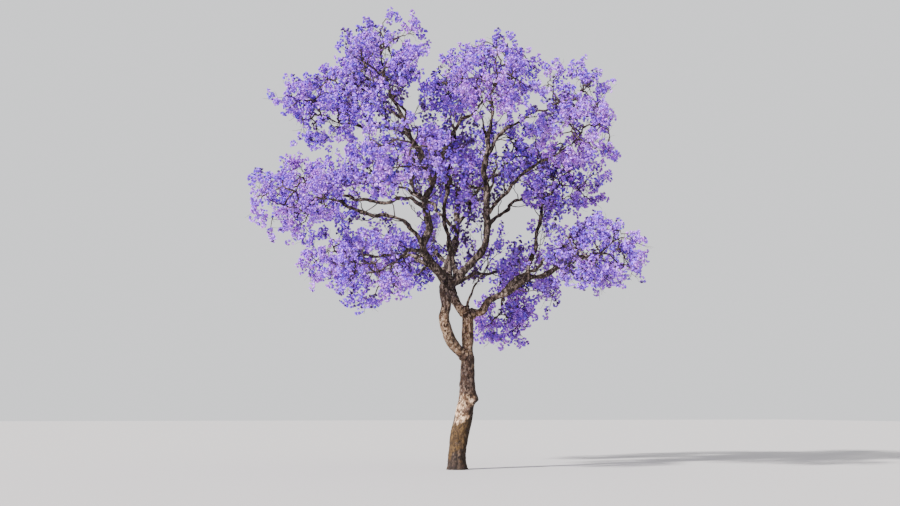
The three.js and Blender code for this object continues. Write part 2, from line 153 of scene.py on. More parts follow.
def bark_relief(flat, radius, seed):
    """How far bark stands out, and how hollow it is from 0 to 1, at points of a limb laid straight,
    with its length along z: broad swellings and long flutes in proportion to the limb, lumps, and
    narrow cracks that lie where two chance values pass through zero."""
    swell = sum(depth * radius * chance(flat, pace * radius, seed + number)
                for number, (depth, pace) in enumerate(BARK.swells))
    flute = BARK.flute[0] * radius * chance(flat * BARK.long, BARK.flute[1] * radius, seed + 2)
    lump = BARK.lump[0] * chance(flat, BARK.lump[1], seed + 3)
    cracks = [depth * np.exp(-(chance(flat * BARK.plate, pace, seed + 4 + number) / width) ** 2)
              for number, (pace, width, depth) in enumerate(BARK.cracks)]
    crack = np.maximum(*cracks) * ease(chance(flat, BARK.patches, seed + 6), *BARK.patchy)
    return swell + flute + lump - BARK.crack_depth * crack, BARK.hollow * crack


def eye_relief(points, centres, sizes):
    """Healed eyes: round each centre a raised rim at the eye's radius, and a hollow inside it, each a
    bell curve in shares of that radius."""
    away = np.linalg.norm(points[..., None, :] - centres, axis=-1)
    rim = HEALED_EYE.rim * sizes * np.exp(-((away - sizes) / (HEALED_EYE.rim * sizes)) ** 2)
    pit = np.exp(-(away / (HEALED_EYE.pit * sizes)) ** 2)
    return (rim - HEALED_EYE.depth * sizes * pit).sum(axis=-1), np.clip(pit.sum(axis=-1), 0, 1)


def ring_faces(rings, sides):
    """The faces over rings of points: a quad from each ring to the next, and a flat cap on both
    ends."""
    corner = np.arange(rings * sides).reshape(rings, sides)
    turned = np.roll(corner, -1, axis=1)
    quads = np.stack([corner[:-1], turned[:-1], turned[1:], corner[1:]], axis=-1).reshape(-1, 4)
    return [quads, np.stack([corner[0, ::-1], corner[-1]])]


def add_piece(name, shapes, material, stands_for):
    """One object at the origin out of shapes: each its points, its arrays of faces with equal numbers
    of corners, and how hollow each point is."""
    starts = np.cumsum([0] + [len(points) for points, _, _ in shapes])
    polygons = [faces + start for start, (_, arrays, _) in zip(starts, shapes) for faces in arrays]
    points = np.concatenate([points for points, _, _ in shapes]).astype(np.float32)
    corners = np.concatenate([faces.ravel() for faces in polygons]).astype(np.int32)
    counts = np.concatenate([np.full(len(faces), faces.shape[1]) for faces in polygons])
    mesh = bpy.data.meshes.new(name)
    mesh.vertices.add(len(points))
    mesh.vertices.foreach_set("co", points.ravel())
    mesh.loops.add(len(corners))
    mesh.loops.foreach_set("vertex_index", corners)
    mesh.polygons.add(len(counts))
    mesh.polygons.foreach_set("loop_start", (np.cumsum(counts) - counts).astype(np.int32))
    mesh.polygons.foreach_set("use_smooth", np.full(len(counts), True))
    if shapes[0][2] is not None:
        hollow = np.concatenate([hollows for _, _, hollows in shapes]).astype(np.float32)
        mesh.attributes.new("hollow", "FLOAT", "POINT").data.foreach_set("value", hollow)
    mesh.update(calc_edges=True)
    mesh.materials.append(material)
    piece = bpy.data.objects.new(name, mesh)
    bpy.context.scene.collection.objects.link(piece)
    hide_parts(*stands_for)
    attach(piece, "root")
    print(name, "has", int((counts - 2).sum()), "triangles")


def trunk_skin():
    """Level rings round the trunk's middle. Each radius is the trunk's, plus the bark's relief and the
    eyes."""
    z = TRUNK.height * np.linspace(0, 1, TRUNK.rings)[:, None]
    angle = np.linspace(0, 2 * np.pi, TRUNK.sides, endpoint=False)[None, :]
    out = np.stack(np.broadcast_arrays(np.cos(angle), np.sin(angle), np.zeros_like(z)), axis=-1)
    middle = trunk_line(z[:, 0] / TRUNK.height)[:, None, :]
    plain = trunk_radius(z, angle)
    relief, hollow = bark_relief(laid_straight(plain, angle, z), TRUNK.at_fork, TRUNK.seed)
    heights, headings, sizes = np.array(TRUNK_EYES).T
    facing = np.radians(headings)
    reach = trunk_radius(heights, facing)
    centres = trunk_line(heights / TRUNK.height)
    centres[:, 0] += reach * np.cos(facing)
    centres[:, 1] += reach * np.sin(facing)
    raised, pit = eye_relief(middle + out * plain[..., None], centres, sizes)
    fading = ease(TRUNK.height - z, 0, TRUNK.dome)
    points = middle + out * (plain + fading * (relief + raised))[..., None]
    hollows = np.maximum(hollow, pit)
    return points.reshape(-1, 3), ring_faces(TRUNK.rings, TRUNK.sides), hollows.ravel()


def add_node(tree, kind, inputs, **settings):
    """A shader node of this kind, with its settings, and each input linked to a socket or set to a
    value."""
    node = tree.nodes.new("ShaderNode" + kind)
    for name, value in settings.items():
        setattr(node, name, value)
    for name, value in inputs.items():
        if isinstance(value, bpy.types.NodeSocket):
            tree.links.new(value, node.inputs[name])
        else:
            node.inputs[name].default_value = value
    return node


def mask(tree, value, low, high):
    """0 where the value is low and 1 where it is high, with an S curve between. Low may be the
    larger."""
    inputs = {"Value": value, "From Min": low, "From Max": high}
    return add_node(tree, "MapRange", inputs, interpolation_type="SMOOTHSTEP").outputs["Result"]


def times(tree, first, second, plus=0.0):
    """The first value times the second, plus a third."""
    inputs = {0: first, 1: second, 2: plus}
    return add_node(tree, "Math", inputs, operation="MULTIPLY_ADD").outputs["Value"]


def moved(tree, operation, *vectors):
    """Places worked out from vectors by an operation, part by part."""
    return add_node(tree, "VectorMath", dict(enumerate(vectors)), operation=operation).outputs["Vector"]


def noise(tree, place, scale, detail=2.0, roughness=0.5):
    """The outputs of smooth noise with so many bumps to the metre, in finer and fainter steps."""
    inputs = {"Vector": place, "Scale": scale, "Detail": detail, "Roughness": roughness}
    return add_node(tree, "TexNoise", inputs).outputs


def tinted(tree, share, under, over):
    """The colour under, turned to the colour over by a share. Each is a socket or three plain
    numbers."""
    under, over = [(*colour, 1) if isinstance(colour, tuple) else colour for colour in (under, over)]
    mixed = add_node(tree, "Mix", {"Factor": share}, data_type="RGBA")
    inputs = {socket.identifier: socket for socket in mixed.inputs}
    for value, socket in ((under, inputs["A_Color"]), (over, inputs["B_Color"])):
        if isinstance(value, tuple):
            socket.default_value = value
        else:
            tree.links.new(value, socket)
    return next(socket for socket in mixed.outputs if socket.identifier == "Result_Color")


def scaly_bark_group():
    """Scaly bark as masks and a height: cracks along the edges of cells drawn out along the limb,
    broken up by chance, a fine grain, flecks, and broad blotches. The cells' places are first shifted a
    little by chance."""
    group = bpy.data.node_groups.new("scaly bark", "ShaderNodeTree")
    for name, kind in (("Place", "Vector"), ("Scale size", "Float"), ("Blotch size", "Float")):
        group.interface.new_socket(name, in_out="INPUT", socket_type="NodeSocket" + kind)
    given = group.nodes.new("NodeGroupInput").outputs
    place = given["Place"]
    shifted = moved(group, "MULTIPLY_ADD", noise(group, place, 9)["Color"], (0.09, 0.09, 0.09), place)
    drawn = moved(group, "MULTIPLY", shifted, (1, 1, 0.38))
    cells = add_node(group, "TexVoronoi", {"Vector": drawn, "Scale": given["Scale size"]},
                     feature="DISTANCE_TO_EDGE")
    broken = mask(group, noise(group, place, 17)["Fac"], 0.4, 0.62)
    crack = times(group, mask(group, cells.outputs["Distance"], 0.16, 0), broken)
    grain = noise(group, place, 70, 7, 0.65)["Fac"]
    results = {
        "Crack": crack,
        "Grain": grain,
        "Fleck": noise(group, drawn, 15, 5, 0.6)["Fac"],
        "Blotch": noise(group, place, given["Blotch size"], 5, 0.6)["Fac"],
        "Height": times(group, crack, -0.8, grain),
    }
    for name in results:
        group.interface.new_socket(name, in_out="OUTPUT", socket_type="NodeSocketFloat")
    result = group.nodes.new("NodeGroupOutput")
    for name, value in results.items():
        group.links.new(value, result.inputs[name])
    return group


def plain_finish(name, values):
    """A new material with these values on its shader's own sockets. Gives its nodes' tree and shader
    too."""
    material = bpy.data.materials.new(name)
    material.use_nodes = True
    shader = material.node_tree.nodes["Principled BSDF"]
    for socket, value in values.items():
        shader.inputs[socket].default_value = value
    return material, material.node_tree, shader


def bark_finish(name, roughness, gloss, scales, blotches, strength, depth):
    """A material raised by scaly bark, with so many scales and blotches to the metre. Gives its tree,
    its shader, the place on Object coordinates and the bark's masks too."""
    material, tree, shader = plain_finish(name, {"Roughness": roughness, "Specular IOR Level": gloss})
    place = tree.nodes.new("ShaderNodeTexCoord").outputs["Object"]
    bark = add_node(tree, "Group", {}, node_tree=SCALY_BARK)
    tree.links.new(place, bark.inputs["Place"])
    bark.inputs["Scale size"].default_value = scales
    bark.inputs["Blotch size"].default_value = blotches
    inputs = {"Strength": strength, "Distance": depth, "Height": bark.outputs["Height"]}
    tree.links.new(add_node(tree, "Bump", inputs).outputs["Normal"], shader.inputs["Normal"])
    return material, tree, shader, place, bark.outputs


def bark_colour(tree, bark, dark, middle, pale):
    """Three plain colours: dark and middle by blotch, pale by fleck, and dark again in the grain."""
    colour = tinted(tree, mask(tree, bark["Blotch"], 0.45, 0.55), dark, middle)
    colour = tinted(tree, times(tree, mask(tree, bark["Fleck"], 0.51, 0.57), 0.9), colour, pale)
    return tinted(tree, times(tree, mask(tree, bark["Grain"], 0.52, 0.36), 0.6), colour, dark)


# The dark, the middle and the pale colour of each kind of bark, the crown's partly painted shade, and the
# colours of painted shade.
ROUGH = (0.03, 0.0163, 0.0113), (0.092, 0.053, 0.036), (0.27, 0.19, 0.147)
FLAKED = (0.09, 0.048, 0.027), (0.4, 0.25, 0.145), (0.86, 0.61, 0.4)
OLIVE = (0.034, 0.019, 0.0075), (0.068, 0.038, 0.0137), (0.115, 0.067, 0.0255)
FOOT = (0.0135, 0.0085, 0.006), (0.027, 0.0165, 0.0117), (0.069, 0.0455, 0.031)
# The crown's bark: a darker brown, partly painted shade under the blossom.
CROWN_AND_SHADE = (0.0145, 0.009, 0.0078), (0.062, 0.043, 0.034), (0.29, 0.223, 0.18)
# Painted shade for the side away from the sun, for the cracks and for the hollows.
PAINTED_SHADE_SIDE, IN_CRACK, IN_HOLLOW = (0.025, 0.0183, 0.0133), (0.0167, 0.0117, 0.01), (0.0133, 0.0092, 0.0083)
# How far chance moves the borders between them in all, and its part of that at its middle value, in
# metres.
RAGGED = Sizes(reach=2.4, middle=1.2)


def tree_bark():
    """Bark that changes up the tree, across ragged borders: a dark foot, then smooth olive brown, then pale
    flakes, whose lower band keeps to the side towards the sun as a painted highlight, then a rough
    red-brown, and dark brown in the crown, partly painted shade. Painted shade darkens the side away from
    the sun, the cracks and the hollows everywhere."""
    material, tree, shader, place, bark = bark_finish(
        "tree bark", roughness=0.9, gloss=0.25, scales=19, blotches=7, strength=0.9, depth=0.01)
    up = add_node(tree, "SeparateXYZ", {"Vector": place}).outputs["Z"]
    height = times(tree, noise(tree, place, 3.6, 7)["Fac"], RAGGED.reach, up)
    normal = tree.nodes.new("ShaderNodeNewGeometry").outputs["Normal"]
    facing = add_node(tree, "SeparateXYZ", {"Vector": normal}).outputs["X"]

    def above(low, high):
        """0 below a ragged height and 1 above another."""
        return mask(tree, height, RAGGED.middle + low, RAGGED.middle + high)

    rough, flaked, olive, foot, crown_and_shade = [bark_colour(tree, bark, *colours)
                                         for colours in (ROUGH, FLAKED, OLIVE, FOOT, CROWN_AND_SHADE)]
    # Painted highlight: the lower pale flakes are real pale bark, kept to the side that faces the sun.
    painted_sun_side = mask(tree, facing, 0.75, -0.1)
    low_flakes_and_painted_sun = times(tree, times(tree, above(1.2, 1.5), above(2.05, 1.7)), painted_sun_side)
    high_flakes = times(tree, times(tree, above(2.9, 3.3), above(4.6, 4.2)), 0.82)
    smooth = times(tree, above(0.1, 0.6), above(1.55, 1.15))
    hollow = add_node(tree, "Attribute", {}, attribute_name="hollow").outputs["Fac"]
    colour = rough
    for share, over in (
        (low_flakes_and_painted_sun, flaked),
        (high_flakes, flaked),
        (smooth, olive),
        (above(0.6, 0.1), foot),
        # Partly painted shade: the bark darkens upward into the crown.
        (mask(tree, up, 4.0, 5.6), crown_and_shade),
        # Painted shade: the side that faces away from the sun is darkened.
        (times(tree, mask(tree, facing, 0, 0.75), 0.75), PAINTED_SHADE_SIDE),
        # Painted shade in the cracks and in the hollows of the bark and the eyes.
        (times(tree, bark["Crack"], 0.85), IN_CRACK),
        (times(tree, hollow, 0.75), IN_HOLLOW),
    ):
        colour = tinted(tree, share, colour, over)
    tree.links.new(colour, shader.inputs["Base Color"])
    return material


SCALY_BARK = scaly_bark_group()
TREE_BARK = tree_bark()
add_piece("trunk_bark", [trunk_skin()], TREE_BARK, ["trunk"])


# The limbs: the same wood and bark, dark and knobbly, each thickened into a collar where it leaves its
# parent, with knuckles and eyes where shoots were shed. A limb that carries blossom runs on, thinner,
# into the middle of its mass. Lengths are metres and headings degrees in plan.
THICK_LIMB = 0.084
# How far apart a limb's rings are and how many sides they have, where it is thick and where it is thin.
RINGS = Sizes(thick=(0.026, 28), thin=(0.03, 14), trunk=0.05)
# Where a limb's own unevenness begins and is whole, in metres from its root.
SETTLED = (0.1, 0.7)
# Slow swings with a pace for each axis, and elbows whose pace grows with the limb; both up to a most.
CROOK = Sizes(paces=(0.6, 0.5, 0.65), swing=1.2, elbow=0.25, by_radius=4.2, thin=0.07, sharp=(1.15, 0.85),
              least=0.03, share=0.7, most=0.09)
# How a limb goes on from its parent's tip, how far its stem runs before it bends, and how thin that
# ends.
JOIN = Sizes(back=1.6, inside=0.95, widens=0.1, stem_bend=0.35, stem_tip=0.42)
KNUCKLES = Sizes(share=(0.24, 0.15), pace=(0.26, 0.11), full_at=0.08)
LIMB_EYES = Sizes(every=0.5, span=(0.12, 0.95), size=(0.3, 0.6), most=0.035)
FILLET = Sizes(of_limb=1.2, of_parent=0.75, height=0.7, buried=0.25, grows=0.7, starts=0.5, near=1)
LIMB_TIP = Sizes(length=1.2, closed=0.01)


def limb(name, parent, at, heading, reach, rise, bow, wave, radius, mass=None):
    """A limb's sizes: it leaves its parent at a share of its length, gains reach in plan and rise in
    height, with a bow and an S wave (out, to its left, up). Mass is how far out and up from its tip the
    middle of its blossom lies, and the half length, breadth and height of that blossom's space."""
    return Sizes(name=name, parent=parent, at=at, heading=heading, reach=reach, rise=rise, bow=bow,
                 wave=wave, radius=radius, mass=mass)


LIMBS = [
    limb("left_stem", "trunk", 0.7, 209, 0.72, 2.14, (0.56, 0, 0), (0.11, 0, 0), (0.145, 0.128)),
    limb("left_arm", "left_stem", 1, 200, 0.7, 2.96, (0.48, 0, 0), (0.16, 0, 0), (0.126, 0.078)),
    limb("right_arm", "left_stem", 0.93, 354, 1.14, 3.05, (0.52, 0, 0), (0.15, 0, 0), (0.122, 0.086)),
    limb("rear_limb", "trunk", 0.97, 84, 1.96, 3.33, (0, 0.4, 0), (0, 0.15, -0.15), (0.13, 0.084),
         (0.7, 0.9, (1.69, 1.69, 1.3))),
    limb("right_bough", "trunk", 0.96, 347, 2.55, 1.48, (0, 0, 0.06), (0, 0.09, 0), (0.112, 0.072),
         (1.35, 0.25, (1.9, 1.8, 1.25))),
    limb("left_leader", "left_arm", 1, 193, 1.08, 2.1, (0.06, 0, 0), (0.06, 0.05, 0), (0.076, 0.052),
         (0.45, 1.1, (1.86, 1.81, 1.41))),
    limb("right_leader", "right_arm", 1, 0, 0.09, 2.25, (-0.1, 0, 0), (-0.11, 0, 0), (0.084, 0.054),
         (0.25, 1.15, (1.75, 1.86, 1.47))),
    limb("middle_limb", "right_arm", 0.12, 120, 0.42, 2.64, (0.2, 0.17, 0), (0, -0.09, 0), (0.084, 0.056),
         (0.5, 0.95, (1.41, 1.41, 1.07))),
    limb("left_lower_bough", "left_arm", 0.4, 197, 2.56, 0.9, (0, 0, 0.17), (0, 0.12, 0.11), (0.062, 0.04),
         (1.15, -0.1, (1.86, 1.81, 1.13))),
    limb("left_upper_bough", "left_arm", 0.7, 148, 2.45, 0.5, (0, -0.2, 0.06), (0, 0.13, 0.1), (0.06, 0.04),
         (1.15, 0.25, (1.86, 1.69, 1.19))),
    limb("left_low_bough", "left_arm", 0.25, 222, 1.5, -0.15, (0, 0, 0.18), (0, 0.07, 0), (0.054, 0.038),
         (1, -0.45, (1.7, 1.6, 1.2))),
    limb("left_high_bough", "left_leader", 0.5, 198, 1.65, 0.05, (0, 0, 0.16), (0, 0.08, 0.06),
         (0.052, 0.036), (1.1, 0.25, (1.69, 1.64, 1.19))),
    limb("left_rear_bough", "left_leader", 0.75, 128, 1.5, 0.55, (0, 0, 0.12), (0, 0.08, 0), (0.05, 0.036),
         (0.85, 0.6, (1.64, 1.53, 1.19))),
    limb("front_high_bough", "left_arm", 0.95, 300, 1.5, 1.5, (0, 0, 0.16), (0, 0.09, 0), (0.058, 0.038),
         (1.05, 0.7, (1.7, 1.65, 1.2))),
    limb("front_left_bough", "left_leader", 0.3, 238, 1.7, 1.15, (0, 0, 0.15), (0, -0.09, 0),
         (0.054, 0.036), (1.15, 0.35, (1.7, 1.65, 1.2))),
    limb("right_high_bough", "right_bough", 0.55, 20, 0.95, 2.25, (0.22, 0, 0), (0.09, 0, 0),
         (0.07, 0.044), (0.7, 0.85, (1.69, 1.64, 1.19))),
    limb("right_low_bough", "right_bough", 0.35, 62, 0.75, 0.06, (0, 0, 0.09), (0, 0.04, 0),
         (0.048, 0.036), (0.65, -0.55, (1.35, 1.25, 1))),
    limb("right_front_bough", "right_bough", 0.4, 297, 2.05, 1.05, (0, 0.15, 0.15), (0, 0, 0.09),
         (0.064, 0.04), (1.25, -0.25, (1.8, 1.75, 1.25))),
    limb("left_front_bough", "left_arm", 0.52, 250, 1.85, 1.15, (0, 0, 0.16), (0, 0.1, 0), (0.058, 0.038),
         (1.1, 0.25, (1.7, 1.65, 1.25))),
    limb("upper_right_bough", "right_leader", 0.35, 336, 1.55, 1.15, (0, 0, 0.13), (0, 0.09, 0),
         (0.054, 0.036), (1.05, 0.35, (1.7, 1.65, 1.25))),
    limb("upper_front_bough", "right_arm", 0.75, 312, 1.9, 1.25, (0, 0, 0.15), (0, 0.1, 0), (0.06, 0.038),
         (1.1, 0.5, (1.7, 1.65, 1.2))),
    limb("right_rear_bough", "right_arm", 0.6, 33, 2.25, 1.35, (0, 0, 0.16), (0, 0.11, 0), (0.062, 0.04),
         (1.2, 0.4, (1.75, 1.7, 1.2))),
    limb("rear_left_low_bough", "rear_limb", 0.42, 155, 2.1, 0.55, (0, 0, 0.17), (0, 0.11, 0),
         (0.068, 0.042), (1.05, -0.1, (1.8, 1.7, 1.25))),
    limb("rear_low_bough", "rear_limb", 0.5, 98, 2.15, 0.5, (0, 0, 0.17), (0, 0.11, 0), (0.064, 0.04),
         (1.05, 0.05, (1.75, 1.75, 1.25))),
    limb("rear_right_low_bough", "rear_limb", 0.3, 33, 2.35, 0.65, (0, 0, 0.15), (0, -0.11, 0),
         (0.066, 0.042), (1.05, -0.25, (1.8, 1.75, 1.25))),
    limb("rear_left_high_bough", "rear_limb", 0.8, 146, 2, 1.55, (0, 0, 0.16), (0, 0.1, 0), (0.062, 0.04),
         (0.85, 0.5, (1.69, 1.64, 1.19))),
    limb("rear_right_high_bough", "rear_limb", 0.86, 28, 1.75, 1.8, (0, 0, 0.15), (0, -0.1, 0),
         (0.06, 0.04), (0.8, 0.8, (1.64, 1.64, 1.19))),
    limb("top_bough", "middle_limb", 0.9, 60, 0.65, 2.15, (0.14, 0, 0), (0, 0.08, 0), (0.052, 0.038),
         (0.3, 1.15, (1.64, 1.64, 1.3))),
]
# Thin shoots and stubs that carry no mass, from the same sizes.
BARE_SHOOTS = [
    limb("inner_shoot", "trunk", 0.99, 355, 0.62, 1.75, (-0.1, 0, 0), (-0.06, 0, 0), (0.042, 0.007)),
    limb("arm_low_shoot", "left_arm", 0.21, 184, 0.95, 0.04, (0, 0, 0.14), (0, 0.05, 0.05), (0.044, 0.013)),
    limb("arm_twin_shoot", "left_arm", 0.18, 204, 0.8, -0.34, (0, 0, 0.05), (0, 0, 0.04), (0.048, 0.02)),
    limb("level_stub", "right_arm", 0.93, 184, 0.52, 0.02, (0, 0, 0.03), (0, 0.02, 0), (0.05, 0.036)),
    limb("arm_shoot", "left_arm", 0.92, 20, 0.26, 0.8, (0.06, 0, 0), (0.04, 0, 0), (0.036, 0.007)),
    limb("leader_twin", "right_arm", 0.9, 350, 0.3, 1.8, (0.14, 0, 0), (0.08, 0, 0), (0.044, 0.007)),
    limb("leader_fork", "right_leader", 0.62, 170, 0.5, 0.75, (-0.08, 0, 0), (0.05, 0, 0), (0.04, 0.007)),
    limb("rear_stub", "rear_limb", 0.35, 210, 0.24, 0.3, (0, 0, 0.02), (0, 0, 0), (0.05, 0.034)),
    limb("bough_stub", "right_bough", 0.7, 250, 0.2, 0.22, (0, 0, 0.02), (0, 0, 0), (0.04, 0.028)),
]


def limb_line(start, sizes):
    """The middle of a limb: straight from root to tip, plus a half sine for the bow and a whole sine
    for the wave, each a vector of out, side and up."""
    turn = np.radians(sizes.heading)
    axes = np.array([[np.cos(turn), np.sin(turn), 0], [-np.sin(turn), np.cos(turn), 0], [0, 0, 1]])
    straight = np.array([sizes.reach, 0, sizes.rise]) @ axes
    bow, wave = np.array(sizes.bow) @ axes, np.array(sizes.wave) @ axes

    def line(share):
        t = np.asarray(share, float)[..., None]
        return start + straight * t + bow * np.sin(np.pi * t) + wave * np.sin(2 * np.pi * t)

    return line, axes


def run_down(points):
    """How far along a row of points each one is."""
    return np.concatenate([[0], np.cumsum(np.linalg.norm(np.diff(points, axis=0), axis=-1))])


def along(line, share):
    """Points of a line at shares of its length, from the summed steps between close samples."""
    fine = np.linspace(0, 1, 401)
    lengths = run_down(line(fine))
    return line(np.interp(np.asarray(share, float) * lengths[-1], lengths, fine))


def even_points(line, spacing):
    """Points of a line in even steps of about this spacing."""
    return along(line, np.linspace(0, 1, int(run_down(line(np.linspace(0, 1, 101)))[-1] / spacing)))


def at_run(place, run, points):
    """The point at a place along a row of points, straight between the two nearest."""
    return np.array([np.interp(place, run, points[:, axis]) for axis in range(3)])


UP = np.array([0.0, 0.0, 1.0])


def space_of(sizes, line, axes):
    """The space of a mass: an ellipsoid with its length along the limb's heading."""
    out, up, half = sizes.mass
    centre = line(1.0) + axes[0] * out + UP * up
    return Sizes(centre=centre, half=np.array(half), axes=axes, size=sum(half) / 3)


def stem_line(line, space):
    """The stem of a mass: a Bezier curve that leaves the limb's tip straight on and bends to the middle
    of the space."""
    tip = line(1.0)
    bend = tip + unit(tip - line(0.999)) * space.size * JOIN.stem_bend
    corners = [tip, bend, (bend + space.centre) / 2, space.centre]

    def stem(share):
        t = np.asarray(share, float)[..., None]
        weights = [(1 - t) ** 3, 3 * t * (1 - t) ** 2, 3 * t * t * (1 - t), t ** 3]
        return sum(weight * corner for weight, corner in zip(weights, corners))

    return stem


def chance_down(run, pace, seed, number):
    """Chance values of the distance along a limb, each limb and number its own."""
    straight = np.stack([np.full_like(run, 0.37 * seed), np.zeros_like(run), run], axis=-1)
    return chance(straight, pace, seed + number)


def crook(run, radius, seed):
    """How far a limb's middle strays from its drawn line: about its radius, in slow swings and short
    elbows, each a chance value of the distance along the limb. The elbows of a thick limb are
    longer."""
    swings = [chance_down(run, pace, seed, axis) for axis, pace in enumerate(CROOK.paces)]
    pace = max(CROOK.elbow, CROOK.by_radius * radius[0])
    elbows = [chance_down(run, pace, seed, 3 + axis) for axis in range(3)]
    most = np.minimum(CROOK.least + CROOK.share * radius, CROOK.most)[:, None]
    sharp = CROOK.sharp[0] if radius[0] < CROOK.thin else CROOK.sharp[1]
    sway = CROOK.swing * np.stack(swings, axis=-1) + sharp * np.stack(elbows, axis=-1)
    return ease(run, *SETTLED)[:, None] * most * sway


def build_limb(sizes, parent, spacing, seed):
    """A limb's middle in even steps, the radius at each, and how far it strays. It starts where its
    parent has strayed to, and one that goes on from its parent's tip starts a little before it, inside.
    Where a limb carries a mass, the stem runs on from its tip, thinner."""
    line, axes = limb_line(along(parent.line, sizes.at), sizes)
    root, tip = sizes.radius
    middle = even_points(line, spacing)
    radius = np.linspace(root, tip, len(middle))
    length, space = run_down(middle)[-1], None
    if sizes.mass:
        space = space_of(sizes, line, axes)
        onward = even_points(stem_line(line, space), spacing)[1:]
        middle = np.concatenate([middle, onward])
        radius = np.concatenate([radius, np.linspace(tip, JOIN.stem_tip * tip, len(onward))])
    run = run_down(middle)
    place = sizes.at * parent.length
    start = at_run(place, parent.run, parent.stray)
    stray = start * (1 - ease(run, 0, SETTLED[1]))[:, None] + crook(run, radius, seed)
    middle = middle + stray
    if sizes.at == 1:
        before = slice(-int(JOIN.back * parent.radius[-1] / spacing), -1)
        lead = parent.run[before] - parent.run[-1]
        inside = np.minimum(JOIN.inside * parent.radius[before], radius[0] + JOIN.widens * -lead)
        middle = np.concatenate([parent.middle[before], middle])
        stray = np.concatenate([parent.stray[before], stray])
        radius = np.concatenate([inside, radius])
        run = np.concatenate([lead, run])
    return Sizes(sizes=sizes, line=line, axes=axes, middle=middle, stray=stray, radius=radius, run=run,
                 length=length, space=space, seed=seed, parent=parent, place=place)


def beyond_skin(points, limb, near):
    """How far points are outside a limb: the least, over the points of its middle, of the distance less
    the radius there."""
    away = np.linalg.norm(points[..., None, :] - limb.middle[near], axis=-1) - limb.radius[near]
    return away.min(axis=-1)


def limb_skin(built, sides):
    """Rings round the limb's middle. Inside the parent they stay within its skin. Outside it each point
    is drawn out into a fillet, by the square of its nearness to the parent's skin. The radius swells
    into knuckles, and the tip closes in a dome. The bark's relief and a few eyes are added."""
    middle, radius, run, seed = built.middle, built.radius, built.run, built.seed
    draw = np.random.default_rng(seed)
    knuckle = sum(share * chance_down(run, pace, seed, 40 + number)
                  for number, (share, pace) in enumerate(zip(KNUCKLES.share, KNUCKLES.pace)))
    knuckle *= np.minimum(1, KNUCKLES.full_at / radius)
    dome = LIMB_TIP.length * radius[-1]
    near_tip = np.clip(run - run[-1] + dome, 0, None) / dome
    close = np.sqrt(np.clip(1 - near_tip ** 2, LIMB_TIP.closed, 1))
    plain = (radius * (1 + ease(run, *SETTLED) * knuckle) * close)[:, None]
    tangent = unit(np.gradient(middle, axis=0))
    first = unit(np.cross(built.axes[1], tangent))
    second = np.cross(tangent, first)
    angle = np.linspace(0, 2 * np.pi, sides, endpoint=False)[None, :]
    out = first[:, None] * np.cos(angle)[..., None] + second[:, None] * np.sin(angle)[..., None]
    flat = laid_straight(plain, angle, run[:, None])
    relief, hollow = bark_relief(flat, radius[0], seed + 50)
    count = max(1, int(run[-1] / LIMB_EYES.every))
    spot, turn = draw.uniform(*LIMB_EYES.span, count) * run[-1], draw.uniform(0, 2 * np.pi, count)
    around = np.interp(spot, run, plain[:, 0])
    centres = np.stack([around * np.cos(turn), around * np.sin(turn), spot], axis=-1)
    eyes = np.minimum(LIMB_EYES.most, around * draw.uniform(*LIMB_EYES.size, count))
    raised, pit = eye_relief(flat, centres, eyes)
    thickness = plain + close[:, None] * (relief + raised)
    if built.sizes.at < 1:
        near = np.abs(built.parent.run - built.place) < FILLET.near
        thick_here = np.interp(built.place, built.parent.run, built.parent.radius)
        deep = beyond_skin(middle, built.parent, near)[:, None]
        size = min(FILLET.of_limb * radius[0], FILLET.of_parent * thick_here)
        shrunk = thick_here * (FILLET.buried + FILLET.grows * ease(deep, -thick_here, 0))
        thickness = np.where(deep < 0, np.minimum(thickness, shrunk), thickness)
        away = beyond_skin(middle[:, None] + out * thickness[..., None], built.parent, near)
        drawn = FILLET.height * size * np.clip(1 - np.clip(away, 0, None) / size, 0, 1) ** 2
        thickness = thickness + drawn * ease(deep, -FILLET.starts * thick_here, 0)
    points = middle[:, None] + out * thickness[..., None]
    return points.reshape(-1, 3), ring_faces(len(middle), sides), np.maximum(hollow, pit).ravel()


middle = even_points(trunk_line, RINGS.trunk)
below_dome = middle[:, 2].clip(0, TRUNK.height - TRUNK.dome)
tree = {"trunk": Sizes(line=trunk_line, length=run_down(middle)[-1], run=run_down(middle), middle=middle,
                       stray=np.zeros_like(middle), radius=trunk_radius(below_dome, np.pi / 2))}
for number, sizes in enumerate(LIMBS + BARE_SHOOTS):
    spacing, _ = RINGS.thick if sizes.radius[0] >= THICK_LIMB else RINGS.thin
    tree[sizes.name] = build_limb(sizes, tree[sizes.parent], spacing, seed=100 + 7 * number)
thick = [sizes.name for sizes in LIMBS if sizes.radius[0] >= THICK_LIMB]
thin = [sizes.name for sizes in LIMBS if sizes.radius[0] < THICK_LIMB]
bare = [sizes.name for sizes in BARE_SHOOTS]
thick_skins = [limb_skin(tree[name], RINGS.thick[1]) for name in thick]
thin_skins = [limb_skin(tree[name], RINGS.thin[1]) for name in thin + bare]
add_piece("limb_bark", thick_skins, TREE_BARK, thick)
add_piece("bough_bark", thin_skins, TREE_BARK, thin)


# The twigs of the blossom masses: young wood, leafless in this season. By the source's rule a spiral of
# main twigs runs down each mass, each from the nearest wood. Here crooked shoots and sprigs go on from
# them through the space, clear of its walls and of the limbs. A few shoots stand on the limbs too.
SOURCE_SEED = 7001
GOLDEN_ANGLE = np.pi * (3 - np.sqrt(5))
GOLDEN_SHARE = 0.618034
# Where twigs may leave a stem, in shares of its length, and the gap between neighbouring spaces.
STEM_FORKS = np.array([1, 0.85, 0.7, 0.55, 0.4])
WALL_GAP = 0.02
